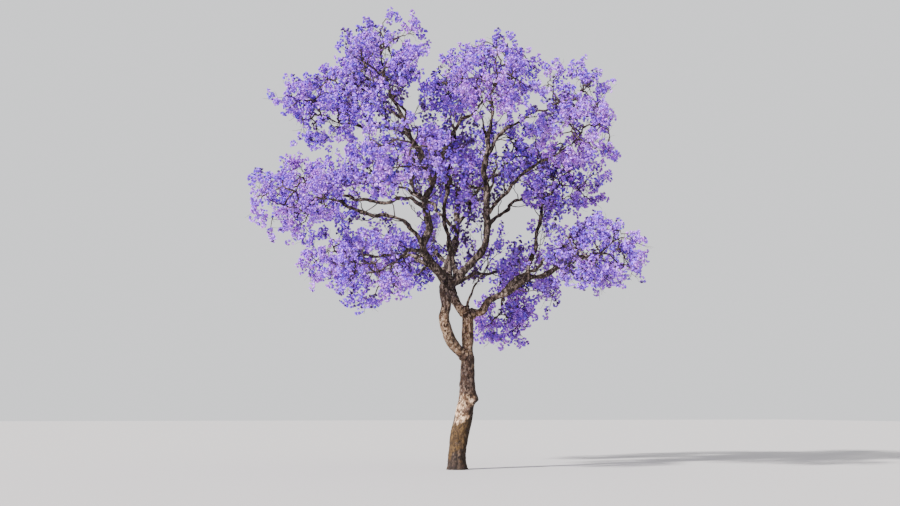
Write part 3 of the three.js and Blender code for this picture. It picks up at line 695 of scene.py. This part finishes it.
# A radius is given at the root and at the tip, and later twigs may leave at the steps in forks.
MAIN_TWIG = Sizes(spacing=0.275, highest=0.97, lowest=-0.7, reach=0.5, uneven=0.1, forks=(3, 4, 5, 6),
                  radius=(0.028, 0.015), sides=6)
SHOOT = Sizes(tries=25, nearest=0.32, furthest=(0.5, 0.84), lobes=0.9, lobe_edge=(0.2, 0.7), scatter=0.07,
              wall=0.22, limb=0.1, forks=(3, 4), radius=(0.021, 0.008), sides=4)
# A twig bends in shares of its length: onward from its stem, towards its end, and up. Wood further out
# than its end counts as further away by a penalty.
TWIG = Sizes(onward=0.3, towards=0.3, lift=0.05, steps=7, crooked=0.04, penalty=3, stem_steps=12)
LIMB_SHOOT = Sizes(spacing=0.46, closer=0.16, uneven=0.15, start=0.3, last=0.97, lowest=4.9, steps=5,
                   onward=0.6, lift=0.5, length=(0.5, 1.25), bend=0.5, sag=0.08, room=0.15, crooked=0.03,
                   radius=(0.019, 0.007), sides=4)
# The limb behind the gap right of the fork, where the photograph shows blossom, has its shoots closer.
CLOSER_ON = "rear_right_low_bough"
# How far side branches turn aside: the first by a part of the spread, and each unevenly.
FAN = Sizes(first=0.25, uneven=(-0.2, 0.25))
SPRIG = Sizes(count=3, step=0.2, spread=0.85, lift=0.15, length=(0.2, 0.42), sag=0.05, crooked=0.05,
              radius=(0.0078, 0.0042), sides=3)
BARE_TWIG = Sizes(count=2, place=(0.2, 0.7), scatter=0.6, length=(0.16, 0.42), sag=0.1, crooked=0.08,
                  radius=(0.0062, 0.0026), sides=3)
FINE_STEPS = 4


def stream(seed):
    """The source's repeatable stream of numbers from 0 to 1, so that its main twigs come out in place."""
    state = [seed & 0xFFFFFFFF]

    def draw():
        state[0] = (state[0] + 0x6D2B79F5) & 0xFFFFFFFF
        mixed = ((state[0] ^ (state[0] >> 15)) * (1 | state[0])) & 0xFFFFFFFF
        mixed = ((mixed + (mixed ^ (mixed >> 7)) * (61 | mixed)) & 0xFFFFFFFF) ^ mixed
        return ((mixed ^ (mixed >> 14)) & 0xFFFFFFFF) / 4294967296

    return draw


def point_in(space, direction, share):
    """A point at a share of the way from the space's middle to its skin."""
    return space.centre + (direction * space.half * share) @ space.axes


def holds(built, points, room):
    """Whether points are inside the space of a limb's mass, and on its side of the wall to each other
    space, with room to spare."""
    space = built.space
    away = points - space.centre
    inside = np.linalg.norm((away @ space.axes.T) / space.half, axis=-1) < 1
    for other in [other.space for other in bearers if other is not built]:
        between = other.centre - space.centre
        wall = np.linalg.norm(between) * space.size / (space.size + other.size)
        inside &= away @ unit(between) < wall - WALL_GAP / 2 - room
    return inside


def in_own_space(points, owners, room):
    """Whether each point is inside the space of the mass that it belongs to, and those that belong to
    none."""
    inside = np.ones(len(points), bool)
    for index, built in enumerate(bearers):
        inside[owners == index] = holds(built, points[owners == index], room)
    return inside


def in_box(points, room):
    """Whether points are inside the solids' box, with room to spare."""
    low, high = np.array(cad_box[0]), np.array(cad_box[1])
    return np.all((points > low + room) & (points < high - room), axis=-1)


def clear_of_limbs(points, room):
    """Whether each point keeps its distance from every limb, by the nearest points on their middles."""
    away = np.linalg.norm(points[:, None] - LIMB_WOOD[None, :, :3], axis=-1) - LIMB_WOOD[None, :, 3]
    return away.min(axis=1) > room


def spiral(height, turn):
    """Directions at these heights on a sphere of radius 1, turned round its axis."""
    flat = np.sqrt(1 - height ** 2)
    return np.stack([flat * np.cos(turn), flat * np.sin(turn), height], axis=-1)


def main_twig_ends(space, draw):
    """Ends in a spiral down the space, a golden angle apart, about half way to its skin."""
    count = round(space.size / MAIN_TWIG.spacing)
    phase = draw() * 2 * np.pi
    number = np.arange(count)
    height = MAIN_TWIG.highest + (MAIN_TWIG.lowest - MAIN_TWIG.highest) * (number + 0.5) / count
    reach = [MAIN_TWIG.reach * (1 - MAIN_TWIG.uneven + 2 * MAIN_TWIG.uneven * draw()) for _ in number]
    return point_in(space, spiral(height, phase + number * GOLDEN_ANGLE), np.array(reach)[:, None])


def shoot_ends(space, draw):
    """Ends spread evenly through the outer part of the space: directions in a golden spiral, and
    distances stepped by the golden share, so that near directions stop at different depths. How far out
    they go changes by chance round the space, which gives the mass its lobes."""
    number = np.arange(SHOOT.tries)
    turn = number * GOLDEN_ANGLE + draw.uniform(0, 2 * np.pi)
    direction = spiral(1 - 2 * (number + 0.5) / SHOOT.tries, turn)
    depth = (number * GOLDEN_SHARE + draw.uniform()) % 1
    lobe = chance(direction + space.centre, SHOOT.lobes, SOURCE_SEED) * 0.5 + 0.5
    high = SHOOT.furthest[0] + (SHOOT.furthest[1] - SHOOT.furthest[0]) * ease(lobe, *SHOOT.lobe_edge)
    share = (SHOOT.nearest ** 2 + (high ** 2 - SHOOT.nearest ** 2) * depth) ** 0.5
    ends = point_in(space, direction, share[:, None]) + draw.normal(0, SHOOT.scatter, (len(number), 3))
    return ends[np.argsort(share)]


def on_arcs(roots, bends, ends, share):
    """Points at shares of parabolas: each leaves its root towards its bend and comes from there to its
    end."""
    t = share[..., None]
    return (1 - t) ** 2 * roots[:, None] + 2 * t * (1 - t) * bends[:, None] + t ** 2 * ends[:, None]


def sagging(roots, ways, lengths, sag):
    """The bend of each twig: half way along it, and lower by a share of its length."""
    return roots + ways * lengths * 0.5 - UP * sag * lengths


def crooked(roots, bends, ends, steps, draw, amount):
    """Parabolas in steps, each inner point moved by chance in proportion to the length, so that twigs
    zigzag."""
    share = np.linspace(0, 1, steps)[None, :]
    lines = on_arcs(roots, bends, ends, share)
    length = np.linalg.norm(ends - roots, axis=-1)[:, None, None]
    return lines + draw.normal(0, amount, lines.shape) * length * np.sin(np.pi * share)[..., None]


def fine_twigs(roots, ways, kind, draw):
    """Crooked twigs of a kind: each goes its way for a length by chance, and sags a little half way."""
    lengths = draw.uniform(*kind.length, len(roots))[:, None]
    bends = sagging(roots, ways, lengths, kind.sag)
    return crooked(roots, bends, roots + ways * lengths, FINE_STEPS, draw, kind.crooked)


def tubes(lines, kind):
    """Many thin tubes at once, each round its own line, tapering evenly and closed at both ends. The
    rings' first direction is square to the axis that its chord is furthest from."""
    sides = kind.sides
    count, steps = lines.shape[:2]
    chord = np.abs(lines[:, -1] - lines[:, 0])
    reference = np.eye(3)[np.argmin(chord, axis=-1)][:, None]
    tangent = unit(np.gradient(lines, axis=1))
    first = unit(np.cross(reference, tangent))
    second = np.cross(tangent, first)
    angle = (np.arange(sides) * 2 * np.pi / sides)[:, None]
    out = first[:, :, None] * np.cos(angle) + second[:, :, None] * np.sin(angle)
    radius = np.linspace(*kind.radius, steps)
    points = lines[:, :, None] + out * radius[None, :, None, None]
    starts = (np.arange(count) * steps * sides)[:, None, None]
    faces = [(array[None] + starts).reshape(-1, array.shape[1]) for array in ring_faces(steps, sides)]
    return points.reshape(-1, 3), faces, None


def along_rows(lines, share):
    """The point at a share of the way down each row of points."""
    place = share * (lines.shape[1] - 1)
    low = min(int(place), lines.shape[1] - 2)
    return lines[:, low] + (lines[:, low + 1] - lines[:, low]) * (place - low)


def square_to(direction):
    """Two directions square to each direction and to each other."""
    helper = np.where(np.abs(direction[..., 2:]) < 0.8, UP, np.array([1.0, 0, 0]))
    first = unit(np.cross(helper, direction))
    return first, np.cross(direction, first)


def fan_from(lines, number, kind, draw):
    """Side branches on each line: the first at its tip and nearly straight on, later ones further back
    and spread to the side, each a golden angle round from the last. Gives their roots and their
    directions."""
    root = along_rows(lines, 1 - kind.step * number)
    onward = unit(lines[:, -1] - lines[:, -2])
    first, second = square_to(onward)
    turn = (number * GOLDEN_ANGLE + draw.uniform(0, 2 * np.pi, len(lines)))[:, None]
    spread = kind.spread * (FAN.first if number == 0 else 1)
    spread = spread + draw.uniform(*FAN.uneven, len(lines))[:, None]
    side = first * np.cos(turn) + second * np.sin(turn)
    return root, unit(onward * np.cos(spread) + side * np.sin(spread) + kind.lift * UP)


def grow_mass(built, index):
    """The main twigs and shoots of one mass as crooked lines. Each leaves the nearest wood so far: the
    stem, or a point on an earlier twig that is nearer the middle of the space."""
    space, draw = built.space, np.random.default_rng(SOURCE_SEED + index)
    stem_run = built.length + STEM_FORKS * (built.run[-1] - built.length)
    wood = [at_run(run, built.run, built.middle) for run in stem_run]
    heading = [unit(built.middle[-1] - built.middle[-TWIG.stem_steps])] * len(wood)
    grown = {"main": [], "shoot": []}

    def twig_to(end, name, kind):
        """One twig to its end, from the wood that is nearest, counting the penalty."""
        away = np.linalg.norm(np.array(wood) - end, axis=1)
        from_middle = np.linalg.norm(np.array(wood) - space.centre, axis=1)
        inward = from_middle < np.linalg.norm(end - space.centre)
        nearest = int(np.argmin(np.where(inward, away, away + TWIG.penalty)))
        root, length = wood[nearest], away[nearest]
        bend = (root + heading[nearest] * TWIG.onward * length + (end - root) * TWIG.towards
                + UP * TWIG.lift * length)
        line = crooked(root[None], bend[None], end[None], TWIG.steps, draw, TWIG.crooked)[0]
        grown[name].append(line)
        for place in kind.forks:
            wood.append(line[place])
            heading.append(unit(line[place] - line[place - 1]))

    for end in main_twig_ends(space, stream(SOURCE_SEED + index)):
        if holds(built, end, MAIN_TWIG.radius[0]):
            twig_to(end, "main", MAIN_TWIG)
    for end in shoot_ends(space, draw):
        if holds(built, end, SHOOT.wall) and clear_of_limbs(end[None], SHOOT.limb)[0]:
            twig_to(end, "shoot", SHOOT)
    return grown["main"], grown["shoot"]


def grow_on_limb(built, draw):
    """Shoots straight from a limb, in a spiral round its upper part, leaning onward and upwards."""
    spacing = LIMB_SHOOT.closer if built.sizes.name == CLOSER_ON else LIMB_SHOOT.spacing
    places = np.arange(LIMB_SHOOT.start * built.length, LIMB_SHOOT.last * built.length, spacing)
    places = places + draw.uniform(-LIMB_SHOOT.uneven, LIMB_SHOOT.uneven, len(places))
    lines = []
    for number, place in enumerate(places):
        at = int(np.searchsorted(built.run, place))
        root = built.middle[at]
        ahead = min(at + LIMB_SHOOT.steps, len(built.middle) - 1)
        onward = unit(built.middle[ahead] - built.middle[at - LIMB_SHOOT.steps])
        first, second = square_to(onward)
        turn = number * GOLDEN_ANGLE + built.seed
        side = first * np.cos(turn) + second * np.sin(turn)
        way = unit(side + LIMB_SHOOT.onward * onward + LIMB_SHOOT.lift * UP)
        end = (root + way * draw.uniform(*LIMB_SHOOT.length))[None]
        bend = (root + way * LIMB_SHOOT.bend - UP * LIMB_SHOOT.sag)[None]
        if root[2] > LIMB_SHOOT.lowest and clear_of_limbs(end, LIMB_SHOOT.room)[0]:
            lines.append(crooked(root[None], bend, end, TWIG.steps, draw, LIMB_SHOOT.crooked)[0])
    return lines


# Every third point of each limb's middle, down to about its tip, with the radius there.
LIMB_WOOD = np.concatenate([
    np.column_stack([built.middle, built.radius])[:int(built.length / RINGS.thin[0]):3]
    for built in tree.values()
])
bearers = [tree[sizes.name] for sizes in LIMBS if sizes.mass]
masses = [built.sizes.name + "_blossom" for built in bearers]
draw = np.random.default_rng(SOURCE_SEED)
# The index of a sprig or panicle that belongs to no mass.
LOOSE = -1
main_lines, shoot_lines, owners = [], [], []
for index, built in enumerate(bearers):
    main, fine = grow_mass(built, index)
    main_lines += main
    shoot_lines += fine
    owners += [index] * len(fine)
on_limbs = [line for sizes in LIMBS for line in grow_on_limb(tree[sizes.name], draw)]
owners = np.array(owners + [LOOSE] * len(on_limbs))
main_lines, shoot_lines, on_limbs = np.array(main_lines), np.array(shoot_lines), np.array(on_limbs)

bearing = np.concatenate([shoot_lines, on_limbs])
sprigs = []
for number in range(SPRIG.count):
    root, way = fan_from(bearing, number, SPRIG, draw)
    sprigs.append(fine_twigs(root, way, SPRIG, draw))
sprigs, sprig_owners = np.concatenate(sprigs), np.tile(owners, SPRIG.count)
within = in_box(sprigs[:, -1], 0) & in_own_space(sprigs[:, -1], sprig_owners, 0)
sprigs, sprig_owners = sprigs[within], sprig_owners[within]
bare = []
for number in range(BARE_TWIG.count):
    root = along_rows(sprigs, draw.uniform(*BARE_TWIG.place))
    way = unit(draw.normal(0, BARE_TWIG.scatter, root.shape) + unit(sprigs[:, -1] - sprigs[:, 0]))
    bare.append(fine_twigs(root, way, BARE_TWIG, draw))
bare = np.concatenate(bare)
bare = bare[in_box(bare[:, -1], 0)]


def young_wood(name, dark, pale):
    """Young wood: a fine blotch of two plain browns, raised by the bark's grain and cracks in small."""
    material, tree, shader, _, bark = bark_finish(
        name, roughness=0.8, gloss=0.3, scales=90, blotches=30, strength=0.4, depth=0.002)
    colour = tinted(tree, mask(tree, bark["Blotch"], 0.4, 0.6), dark, pale)
    tree.links.new(colour, shader.inputs["Base Color"])
    return material


TWIG_BARK = young_wood("twig bark", (0.0183, 0.0117, 0.0108), (0.083, 0.055, 0.045))
add_piece("twigs", [
    tubes(main_lines, MAIN_TWIG),
    tubes(shoot_lines, SHOOT),
    tubes(on_limbs, LIMB_SHOOT),
    tubes(sprigs, SPRIG),
    tubes(bare, BARE_TWIG),
], TWIG_BARK, masses)


# The blossom: panicles of violet bells, three on a sprig. Each is a slim axis with side stalks in a
# golden spiral, and each stalk ends in a spray of five-sided bells. Colours differ from spray to spray
# and drift from one part of the crown to the next, the darkest partly painted shade, and each colour is one
# piece.
PANICLE = Sizes(count=3, step=0.3, spread=0.8, lift=0.42, length=(0.17, 0.34), sag=0.06,
                axis=(0, 0.97, 3), radius=(0.003, 0.0015), sides=3, blade=0.003, flowers=5, wall=0.03,
                box=0.06, limb=(0.07, 0.06), loose_share=0.75)
# A panicle's side stalks: their length, how far the lowest is up the axis, how evenly they follow, and
# how they shorten, lean onward and gather towards the tip.
CYME = Sizes(count=6, length=0.045, foot=0.22, follow=(0.2, 1), shortens=1.25, uneven=(0.5, 1.6),
             onward=0.45, gathers=0.7, ahead=0.2, droops=0.2)
FLOWER = Sizes(length=0.064, mouth=0.0285, corners=5, bud=0.6, buds_above=(0.8, 1.05), fan=0.62,
               even=(0.75, 1.2), uneven_mouth=(0.8, 1.2), uneven_length=(0.8, 1.1))
# The drift of colour: the pace of its chance, its seed, how sprays differ, and how much bluer loose
# ones are.
DRIFT = Sizes(pace=1.1, seed=77, differ=0.45, bluer=0.5)
TINTS = [
    ("blossom_rosy", (0.57, 0.178, 0.86), 0.09),
    ("blossom_pale", (0.67, 0.31, 1.0), 0.16),
    ("blossom_lilac", (0.51, 0.183, 1.0), 0.24),
    ("blossom_violet", (0.41, 0.115, 0.94), 0.19),
    ("blossom_blue_violet", (0.31, 0.096, 0.88), 0.14),
    ("blossom_blue", (0.34, 0.16, 1.0), 0.08),
    # The deep tint is a dark violet that also serves as painted shade, dealt out by chance among the
    # sprays.
    ("blossom_deep", (0.107, 0.034, 0.215), 0.1),
]
# Most panicles between the camera's eye and the limbs and near twigs that the photograph shows bare are
# left out: a share of those within room of the sight line to a point of them. Every so many points of a
# limb or stem count, and so many points of each main twig whose middle step is in front.
EYE = np.array([-8.05, -31.7, 1.66])
BARE_LIMBS = Sizes(room=0.14, share=0.85, every=4, names=[
    "left_arm", "right_arm", "left_leader", "right_leader", "middle_limb", "left_lower_bough",
    "left_upper_bough", "right_bough", "right_high_bough", "arm_low_shoot", "arm_twin_shoot",
    "left_low_bough", "level_stub",
])
NEAR_TWIGS = Sizes(room=0.075, share=0.6, every=3, points=13, step=3)


def before_wood(points, wood, room):
    """Whether points stand between the camera's eye and wood: nearer than it, and within room of the
    sight line to one of its points."""
    sights = wood - EYE
    far = np.linalg.norm(sights, axis=-1)
    ahead = (points - EYE) @ (sights / far[:, None]).T
    aside = np.linalg.norm(points - EYE, axis=-1)[:, None] ** 2 - ahead ** 2
    return np.any((aside < room ** 2) & (ahead < far), axis=1)


def cyme_places(roots, bends, tips, ways, draw):
    """The side stalks of each panicle: their roots on its axis, their ends, and the way their sprays
    face. They follow a golden spiral up the axis, shorten towards its tip, and turn from outwards to
    straight on."""
    count = CYME.count
    step = np.arange(count)[None, :] + draw.uniform(*CYME.follow, (len(roots), count))
    share = CYME.foot + (1 - CYME.foot) * step / count
    turn = np.arange(count)[None, :] * GOLDEN_ANGLE + draw.uniform(0, 2 * np.pi, (len(roots), 1))
    first, second = square_to(ways)
    side = first[:, None] * np.cos(turn)[..., None] + second[:, None] * np.sin(turn)[..., None]
    last = (np.arange(count) == count - 1)[None, :, None]
    length = CYME.length * (CYME.shortens - share) * draw.uniform(*CYME.uneven, share.shape)
    start = on_arcs(roots, bends, tips, share)
    end = start + side * length[..., None] * ~last + ways[:, None] * (CYME.onward * length)[..., None]
    outward = side * (1 - CYME.gathers * share ** 2)[..., None] * ~last
    face = unit(outward + ways[:, None] * (CYME.ahead + share)[..., None] - CYME.droops * UP)
    return start, end, face, share


def bells(foot, way, size, draw):
    """Flowers as open bells: five faces from the foot to five corners of the mouth, set round the
    flower's way, the mouth tilted a little and its corners uneven."""
    count = FLOWER.corners
    first, second = square_to(way)
    turn = np.arange(count)[None, :] * 2 * np.pi / count + draw.uniform(0, 2 * np.pi, (len(foot), 1))
    mouth = FLOWER.mouth * size[:, None] * draw.uniform(*FLOWER.uneven_mouth, turn.shape)
    deep = FLOWER.length * size[:, None] * draw.uniform(*FLOWER.uneven_length, turn.shape)
    corners = (foot[:, None] + first[:, None] * (mouth * np.cos(turn))[..., None]
               + second[:, None] * (mouth * np.sin(turn))[..., None] + way[:, None] * deep[..., None])
    points = np.concatenate([foot[:, None], corners], axis=1).reshape(-1, 3)
    petal = np.array([[0, 1 + (side + 1) % count, 1 + side] for side in range(count)])
    faces = (petal[None] + (np.arange(len(foot)) * (count + 1))[:, None, None]).reshape(-1, 3)
    return points, [faces], None


def blades(start, end):
    """Side stalks as slim blades from the axis to the spray."""
    start, end = start.reshape(-1, 3), end.reshape(-1, 3)
    across = unit(np.cross(end - start, UP) + 1e-6) * PANICLE.blade / 2
    points = np.stack([start + across, start - across, end], axis=1).reshape(-1, 3)
    return points, [np.arange(len(points)).reshape(-1, 3)], None


def petals(name, colour):
    """Thin, silky petals in one plain colour."""
    return plain_finish(name, {
        "Base Color": (*colour, 1),
        "Roughness": 0.62,
        "Specular IOR Level": 0.35,
        "Sheen Weight": 0.15,
    })[0]


fans = [fan_from(sprigs, number, PANICLE, draw) for number in range(PANICLE.count)]
roots, ways = [np.concatenate(part) for part in zip(*fans)]
panicle_owners = np.tile(sprig_owners, PANICLE.count)
lengths = draw.uniform(*PANICLE.length, len(roots))[:, None]
tips = roots + ways * lengths
keep = clear_of_limbs((roots + tips) / 2, PANICLE.limb[0]) & clear_of_limbs(tips, PANICLE.limb[1])
keep &= in_own_space(tips, panicle_owners, PANICLE.wall)
loose = panicle_owners == LOOSE
keep[loose] &= draw.uniform(0, 1, loose.sum()) < PANICLE.loose_share
keep &= in_box(tips, PANICLE.box)
limb_wood = []
for name in BARE_LIMBS.names:
    built = tree[name]
    limb_wood.append(built.middle[:np.searchsorted(built.run, built.length):BARE_LIMBS.every])
near_lines = main_lines[main_lines[:, NEAR_TWIGS.step, 1] < 0]
twig_wood = [along_rows(near_lines, share) for share in np.linspace(0, 1, NEAR_TWIGS.points)]
for built in bearers:
    if built.space.centre[1] < 0:
        twig_wood.append(built.middle[np.searchsorted(built.run, built.length)::NEAR_TWIGS.every])
for wood, kind in ((limb_wood, BARE_LIMBS), (twig_wood, NEAR_TWIGS)):
    wood = np.concatenate(wood)
    hiding = before_wood(tips, wood, kind.room) | before_wood(roots, wood, kind.room)
    keep &= ~(hiding & (draw.uniform(0, 1, len(keep)) < kind.share))
roots, ways, lengths, tips, loose = roots[keep], ways[keep], lengths[keep], tips[keep], loose[keep]
bends = sagging(roots, ways, lengths, PANICLE.sag)

starts, ends, facing, share = cyme_places(roots, bends, tips, ways, draw)
axis_lines = on_arcs(roots, bends, tips, np.linspace(*PANICLE.axis)[None, :])
STALK = young_wood("flower stalks", (0.05, 0.037, 0.033), (0.125, 0.1, 0.075))
stalks = [tubes(axis_lines, PANICLE), blades(starts, ends)]
add_piece("flower_stalks", stalks, STALK, masses)

feet, facing = ends.reshape(-1, 3), facing.reshape(-1, 3)
spray_size = (1 - (1 - FLOWER.bud) * ease(share, *FLOWER.buds_above)).ravel()
drift = chance(feet, DRIFT.pace, DRIFT.seed) + draw.normal(0, DRIFT.differ, len(feet))
drift = drift + DRIFT.bluer * np.repeat(loose, CYME.count)
rank = np.argsort(np.argsort(drift)) / len(drift)
shares = np.array([part for _, _, part in TINTS])
tint = np.searchsorted(np.cumsum(shares)[:-1] / shares.sum(), rank)
for number, (name, colour, _) in enumerate(TINTS):
    foot = np.repeat(feet[tint == number], PANICLE.flowers, axis=0)
    way = np.repeat(facing[tint == number], PANICLE.flowers, axis=0)
    size = np.repeat(spray_size[tint == number], PANICLE.flowers) * draw.uniform(*FLOWER.even, len(foot))
    way = unit(way + FLOWER.fan * unit(draw.normal(0, 1, way.shape)))
    add_piece(name, [bells(foot, way, size, draw)], petals(name, colour), masses)


# The stage: a plain pale floor, soft light from the sky all round, and a low sun from the front left.
# The sky that the camera sees is a little brighter than the light that it gives.
floor_mesh = bpy.data.meshes.new("floor")
floor_mesh.from_pydata([(-90, -60, 0), (90, -60, 0), (90, 140, 0), (-90, 140, 0)], [], [(0, 1, 2, 3)])
pale_floor, _, _ = plain_finish("pale floor", {"Base Color": (0.52, 0.51, 0.495, 1), "Roughness": 0.9})
floor_mesh.materials.append(pale_floor)
floor = bpy.data.objects.new("floor", floor_mesh)
bpy.context.scene.collection.objects.link(floor)

world = bpy.data.worlds.new("soft sky")
world.use_nodes = True
sky = world.node_tree
sky.nodes["Background"].inputs["Color"].default_value = (0.94, 0.93, 1, 1)
sky.nodes["Background"].inputs["Strength"].default_value = 0.9
backdrop = add_node(sky, "Background", {"Color": (0.95, 0.96, 0.98, 1), "Strength": 1.15})
seen = sky.nodes.new("ShaderNodeLightPath").outputs["Is Camera Ray"]
light = sky.nodes["Background"].outputs["Background"]
either = add_node(sky, "MixShader", {"Fac": seen, 1: light, 2: backdrop.outputs["Background"]})
sky.links.new(either.outputs["Shader"], sky.nodes["World Output"].inputs["Surface"])
bpy.context.scene.world = world
sun = bpy.data.lights.new("sun", "SUN")
sun.energy = 12
sun.angle = 0.06
sun.color = (1.0, 0.965, 0.96)
sun_object = bpy.data.objects.new("sun", sun)
sun_object.rotation_euler = (np.radians(61), 0, np.radians(-66))
bpy.context.scene.collection.objects.link(sun_object)

# The camera: at the photograph's standing place and eye height, turned to the middle of the tree. Its
# lens is wide enough for the whole crown.
AIM = np.array([-0.1, 0.4, 6.1])
camera = bpy.data.cameras.new("camera")
camera.sensor_width = 36
camera.lens = 46.5
camera.clip_end = 300
eye = bpy.data.objects.new("camera", camera)
eye.location = EYE
across, ahead, height = AIM - EYE
level = np.hypot(across, ahead)
eye.rotation_euler = (np.pi / 2 + np.arctan2(height, level), 0, -np.arctan2(across, ahead))
bpy.context.scene.collection.objects.link(eye)
bpy.context.scene.camera = eye
